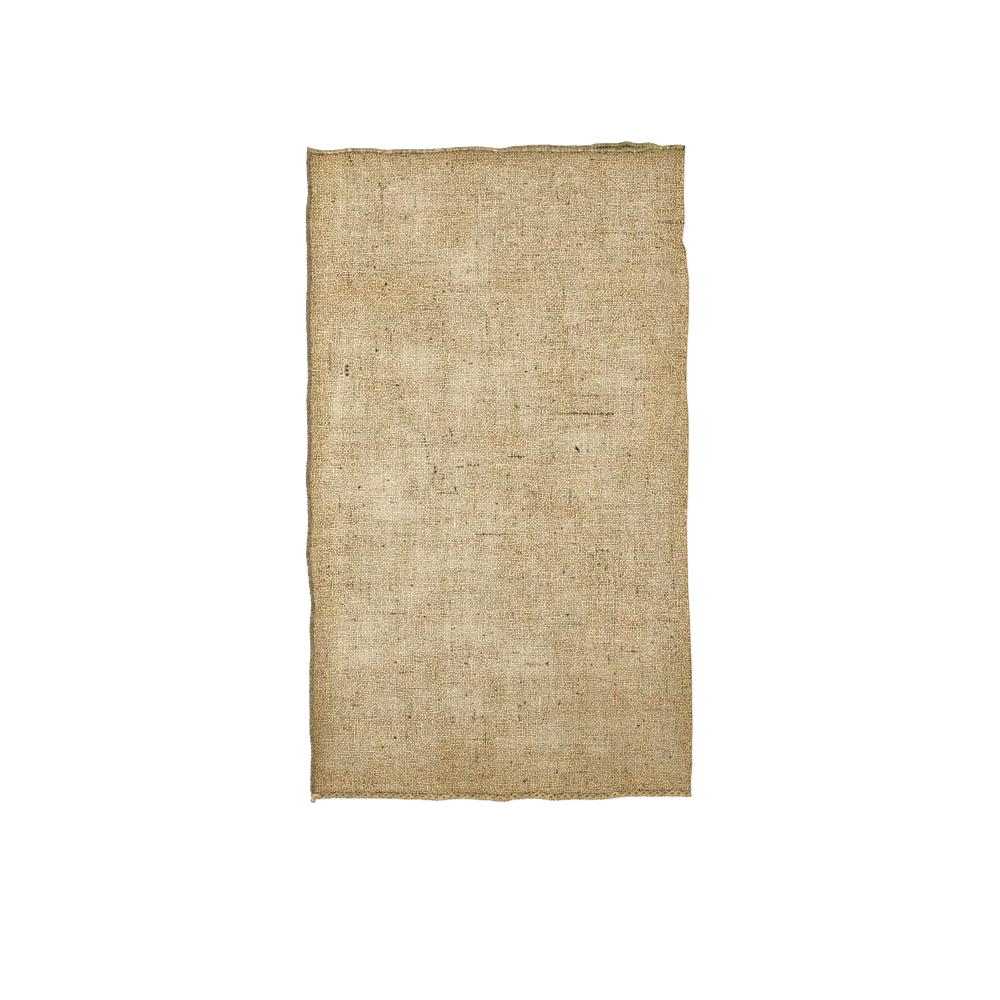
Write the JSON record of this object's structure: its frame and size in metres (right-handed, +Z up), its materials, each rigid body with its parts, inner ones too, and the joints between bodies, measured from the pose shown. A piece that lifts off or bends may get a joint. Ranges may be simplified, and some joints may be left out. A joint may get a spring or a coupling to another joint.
{
  "type": "jute sack",
  "caption": "Empty rectangular jute sack lying flat, one cloth folded down one side and overedged with twine down the other and along the bottom, its mouth open at the top.",
  "frame": {"origin": "middle of the sack's footprint, on the surface that it lies on", "axes": "+Y towards the mouth, +Z up out of the front layer, +X towards the folded edge"},
  "size_m": [0.3558, 0.6072, 0.0095],
  "materials": {
    "jute_cloth": "coarse open plain weave, matt and slubby, warm tan",
    "jute_twine": "soft two-ply twine, matt, paler than the cloth"
  },
  "bodies": {
    "root": {"sack_cloth": "jute_cloth", "side_seam": "jute_twine", "bottom_seam": "jute_twine"}
  },
  "joints": []
}
